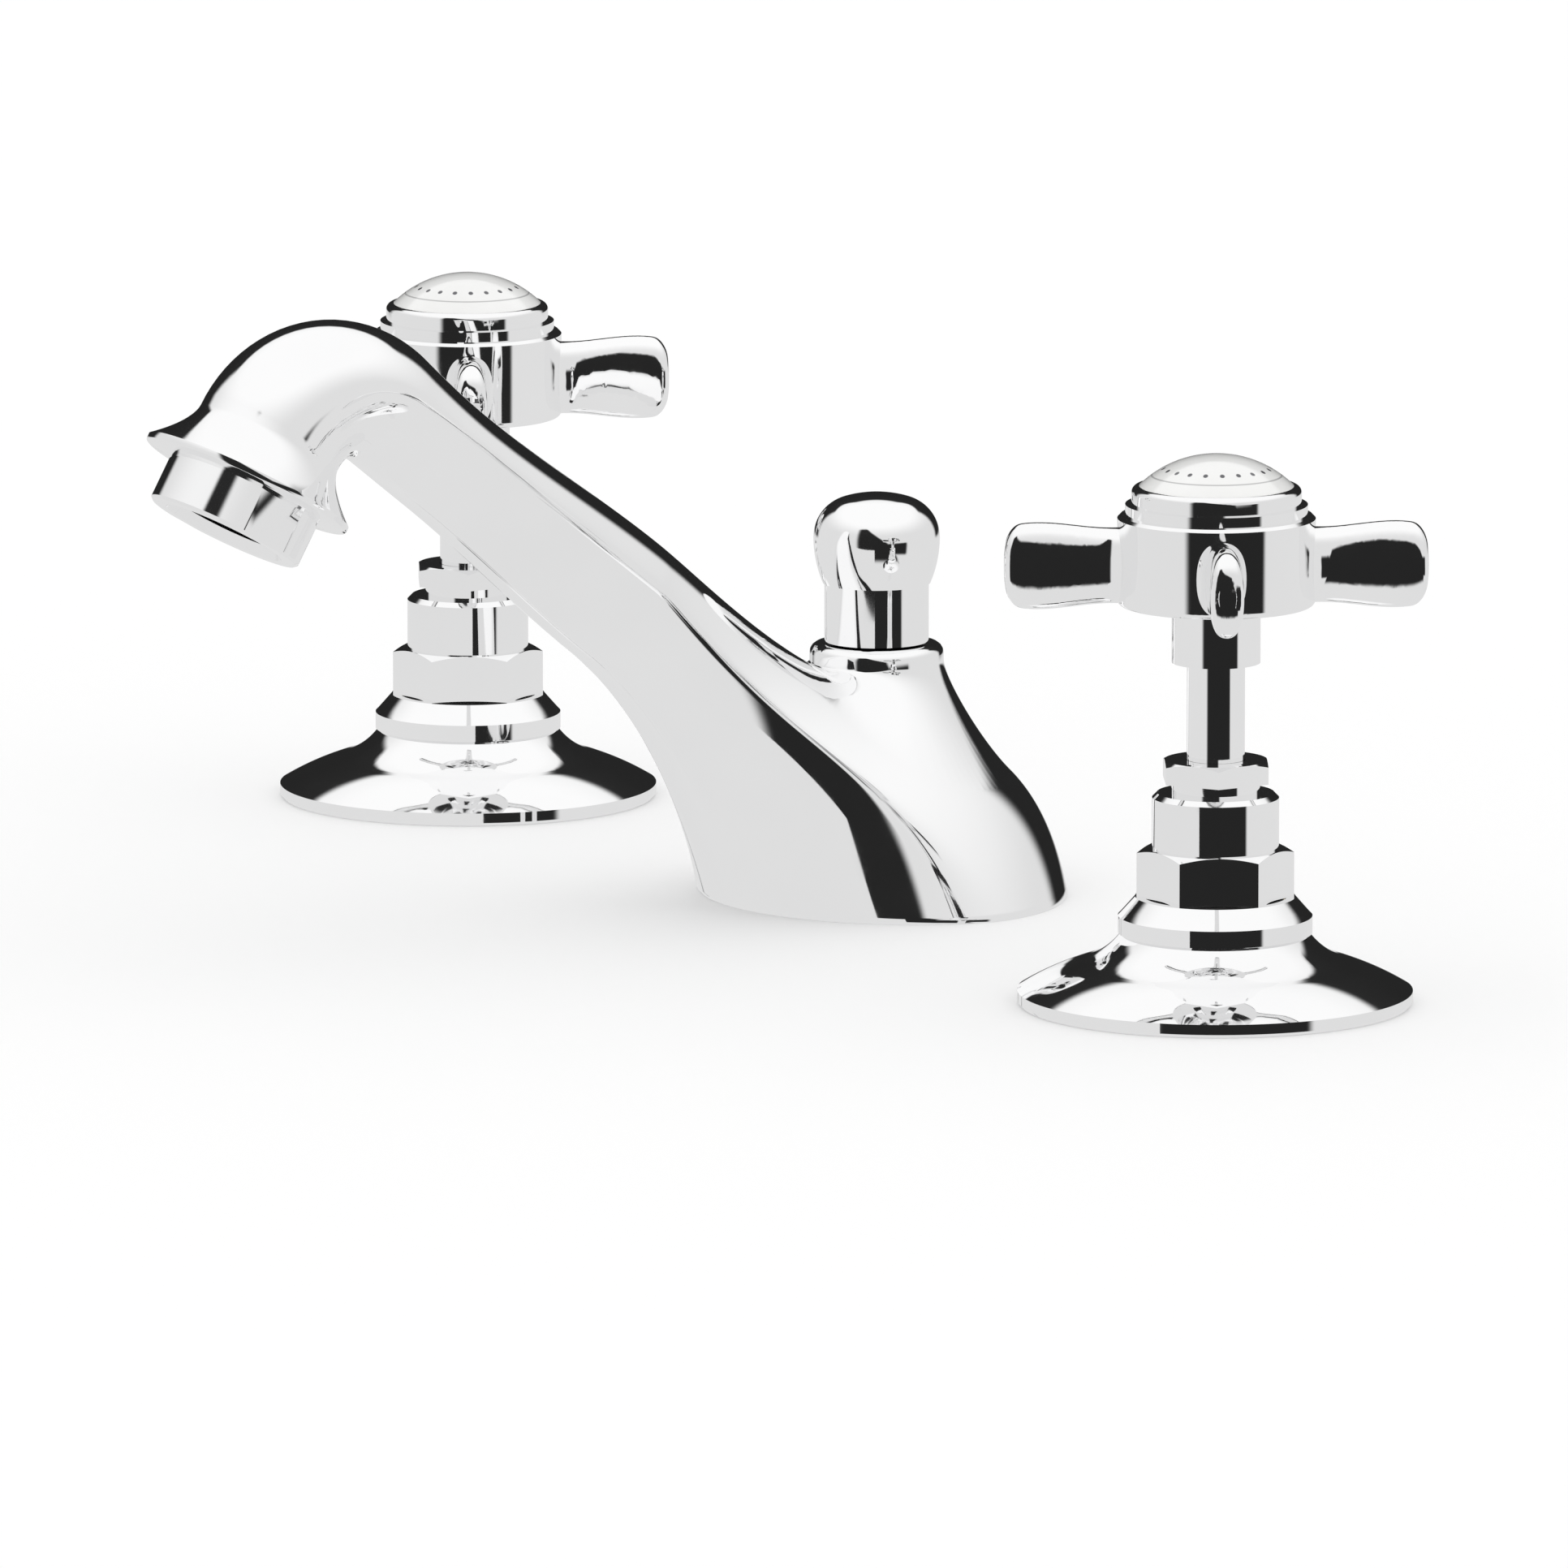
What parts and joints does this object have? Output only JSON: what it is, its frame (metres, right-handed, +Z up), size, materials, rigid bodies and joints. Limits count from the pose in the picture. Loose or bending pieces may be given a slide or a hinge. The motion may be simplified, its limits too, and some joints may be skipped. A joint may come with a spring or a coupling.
{
  "type": "basin mixer tap",
  "caption": "Traditional deck-mounted basin mixer: keeled arched spout with a pop-up waste knob, and crosshead side valves with white domed index caps.",
  "frame": {"origin": "on the deck plane, under the axis of the pop-up knob", "axes": "+Z up from the deck, -Y out along the spout, +X to the right valve as the user sees it"},
  "size_m": [0.269, 0.1517, 0.1898],
  "materials": {
    "chrome": "polished plate",
    "brass": "machined",
    "steel": "zinc plated",
    "rubber": "matte",
    "packing": "greased fibre",
    "insert_plastic": "moulded",
    "index_white": "glazed white"
  },
  "bodies": {
    "mixer": {"spout_body": "chrome", "aerator_housing": "chrome", "aerator_insert": "insert_plastic", "aerator_washer": "rubber", "rod_guide": "brass", "rod_seal": "rubber", "spout_base_seal": "rubber", "spout_inlet_tail": "brass", "inlet_tee": "brass", "inlet_tee_seal": "rubber", "spout_stud": "steel", "spout_clamp_gasket": "rubber", "spout_clamp_plate": "steel", "spout_stud_nut": "brass", "left_flange": "chrome", "left_flange_seal": "rubber", "left_collar": "chrome", "left_valve_body": "brass", "left_deck_gasket": "rubber", "left_deck_washer": "steel", "left_backnut": "brass", "left_bonnet": "chrome", "left_bonnet_seal": "rubber", "left_gland_nut": "chrome", "left_gland_packing": "packing", "right_flange": "chrome", "right_flange_seal": "rubber", "right_collar": "chrome", "right_valve_body": "brass", "right_deck_gasket": "rubber", "right_deck_washer": "steel", "right_backnut": "brass", "right_bonnet": "chrome", "right_bonnet_seal": "rubber", "right_gland_nut": "chrome", "right_gland_packing": "packing"},
    "popup": {"popup_knob": "chrome", "popup_rod": "chrome"},
    "left_lift": {"left_jumper": "brass", "left_jumper_washer": "rubber"},
    "left_stem": {"left_spindle": "chrome", "left_handle": "chrome", "left_handle_screw": "steel", "left_cap": "chrome", "left_index": "index_white"},
    "right_lift": {"right_jumper": "brass", "right_jumper_washer": "rubber"},
    "right_stem": {"right_spindle": "chrome", "right_handle": "chrome", "right_handle_screw": "steel", "right_cap": "chrome", "right_index": "index_white"}
  },
  "joints": [
    {"name": "popup_lift", "type": "slide", "parent": "mixer", "child": "popup", "axis": [0, 0, 1], "range_m": [0, 0.02]},
    {"name": "left_rise", "type": "slide", "parent": "mixer", "child": "left_lift", "axis": [0, 0, 1], "range_m": [0, 0.00525]},
    {"name": "left_turn", "type": "hinge", "parent": "left_lift", "child": "left_stem", "pos_m": [-0.1055, -0.0079, 0.05], "axis": [0, 0, 1], "range_deg": [0, 757]},
    {"name": "right_rise", "type": "slide", "parent": "mixer", "child": "right_lift", "axis": [0, 0, 1], "range_m": [0, 0.00525]},
    {"name": "right_turn", "type": "hinge", "parent": "right_lift", "child": "right_stem", "pos_m": [0.1055, -0.0079, 0.05], "axis": [0, 0, 1], "range_deg": [0, 757]}
  ],
  "couplings": [
    {"joint": "left_turn", "follows": "left_rise", "rad_per_m": 2513.3},
    {"joint": "right_turn", "follows": "right_rise", "rad_per_m": 2513.3}
  ]
}
